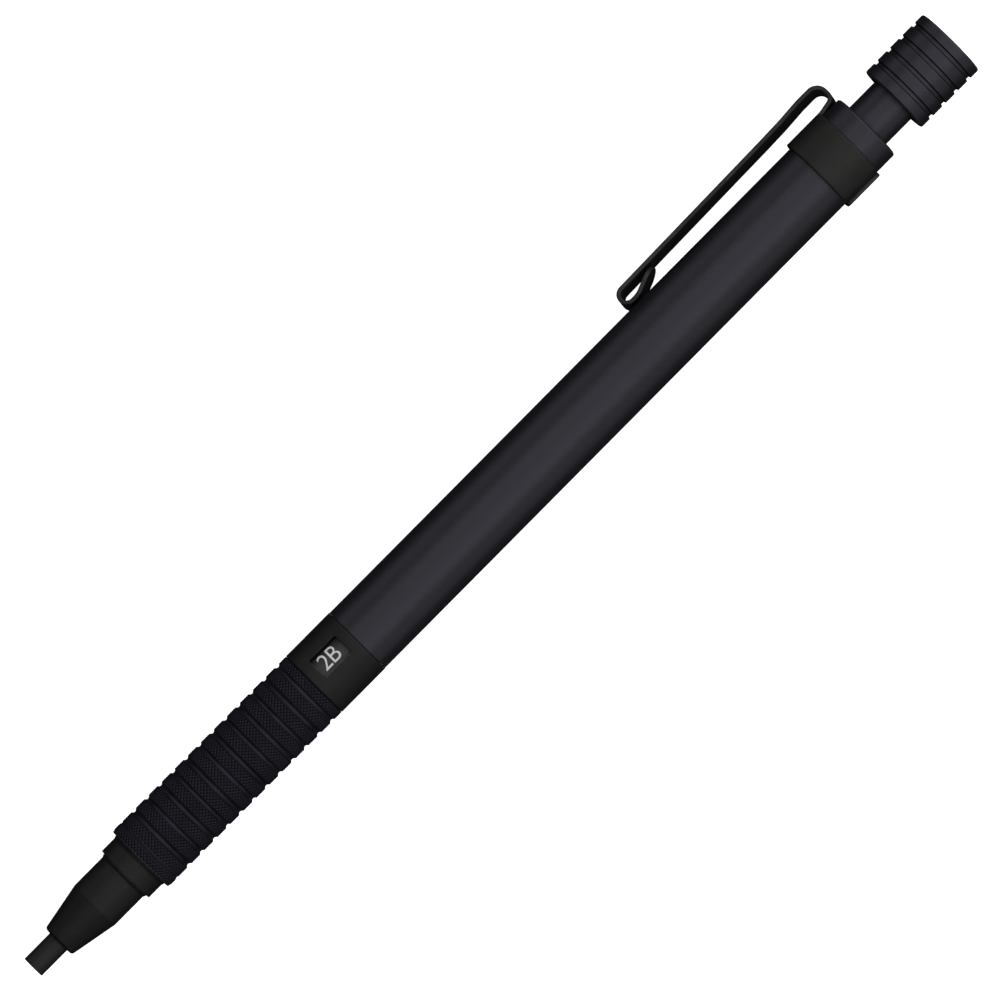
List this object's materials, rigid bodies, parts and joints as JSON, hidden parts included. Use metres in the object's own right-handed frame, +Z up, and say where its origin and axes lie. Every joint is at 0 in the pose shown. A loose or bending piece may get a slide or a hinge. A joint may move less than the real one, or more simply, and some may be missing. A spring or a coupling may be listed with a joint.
{
  "type": "mechanical pencil",
  "caption": "Slim all-metal drafting pencil with knurled grip, turning grade window, sprung pocket clip and push knob; the chuck, spring and lead inside move.",
  "frame": {"origin": "on the surface the pencil lies on, under the middle of its length and width", "axes": "+X along the pencil from the tip to the push knob, +Z up, clip on the +Y side"},
  "size_m": [0.142, 0.012, 0.0096],
  "materials": {
    "painted_black": "satin black paint over turned brass",
    "grip_black": "black anodised, diamond knurl",
    "barrel_black": "black anodised, fine satin",
    "sleeve_steel": "blackened steel pipe",
    "clip_black": "satin black paint over spring steel",
    "drum_grey": "dark grey satin with printed grades",
    "spring_steel": "drawn wire",
    "brass_turned": "turned brass",
    "tube_metal": "drawn tube, plain",
    "plastic_black": "moulded black plastic",
    "rubber_black": "moulded black rubber",
    "graphite": "dull polymer-graphite rod",
    "eraser_white": "white eraser"
  },
  "bodies": {
    "barrel_group": {"front_tube": "painted_black", "grip_sleeve": "grip_black", "grade_drum": "drum_grey", "detent_ring": "spring_steel", "barrel": "barrel_black", "tail_bush": "plastic_black", "clip_band": "clip_black", "spring_seat": "brass_turned", "return_spring": "spring_steel"},
    "nose_thread": {"lead_retainer": "rubber_black"},
    "nose": {"nose_cone": "painted_black", "lead_sleeve": "sleeve_steel"},
    "grade_collar": {"window_collar": "painted_black"},
    "clip": {"clip_arm": "clip_black"},
    "push_rod": {"push_neck": "barrel_black", "lead_tube": "tube_metal", "tube_connector": "tube_metal", "chuck": "brass_turned"},
    "clutch": {"chuck_ring": "brass_turned"},
    "lead_rod": {"lead": "graphite"},
    "cap": {"knob": "barrel_black", "knob_liner": "plastic_black"},
    "eraser_plug": {"eraser": "eraser_white", "eraser_ferrule": "tube_metal"}
  },
  "joints": [
    {"name": "nose_advance", "type": "slide", "parent": "barrel_group", "child": "nose_thread", "axis": [-1, 0, 0], "range_m": [0, 0.004]},
    {"name": "nose_unscrew", "type": "hinge", "parent": "nose_thread", "child": "nose", "pos_m": [-0.06101, -0.00125, 0.00479], "axis": [-1, 0, 0], "range_deg": [0, 2880.5]},
    {"name": "grade_turn", "type": "hinge", "parent": "barrel_group", "child": "grade_collar", "pos_m": [-0.02428, -0.00125, 0.00479], "axis": [1, 0, 0], "continuous": true},
    {"name": "clip_flex", "type": "hinge", "parent": "barrel_group", "child": "clip", "pos_m": [0.05629, 0.00394, 0.00216], "axis": [0, -0.4521, -0.8919], "range_deg": [0, 5], "stiffness_Nm_per_rad": 0.05, "springref_deg": -2.86},
    {"name": "push", "type": "slide", "parent": "barrel_group", "child": "push_rod", "axis": [-1, 0, 0], "range_m": [0, 0.003], "stiffness_N_per_m": 800, "springref_m": -0.004, "deforming": ["return_spring"]},
    {"name": "clutch_slide", "type": "slide", "parent": "barrel_group", "child": "clutch", "axis": [-1, 0, 0], "range_m": [0, 0.001]},
    {"name": "lead_feed", "type": "slide", "parent": "clutch", "child": "lead_rod", "axis": [-1, 0, 0], "range_m": [0, 0.012]},
    {"name": "knob_pull", "type": "slide", "parent": "push_rod", "child": "cap", "axis": [1, 0, 0], "range_m": [0, 0.012]},
    {"name": "eraser_pull", "type": "slide", "parent": "push_rod", "child": "eraser_plug", "axis": [1, 0, 0], "range_m": [0, 0.0036]}
  ],
  "couplings": [
    {"joint": "nose_unscrew", "follows": "nose_advance", "rad_per_m": 12566},
    {"joint": "clutch_slide", "follows": "push", "ratio": 0.33333},
    {"joint": "eraser_pull", "follows": "knob_pull", "ratio": 0.3}
  ]
}
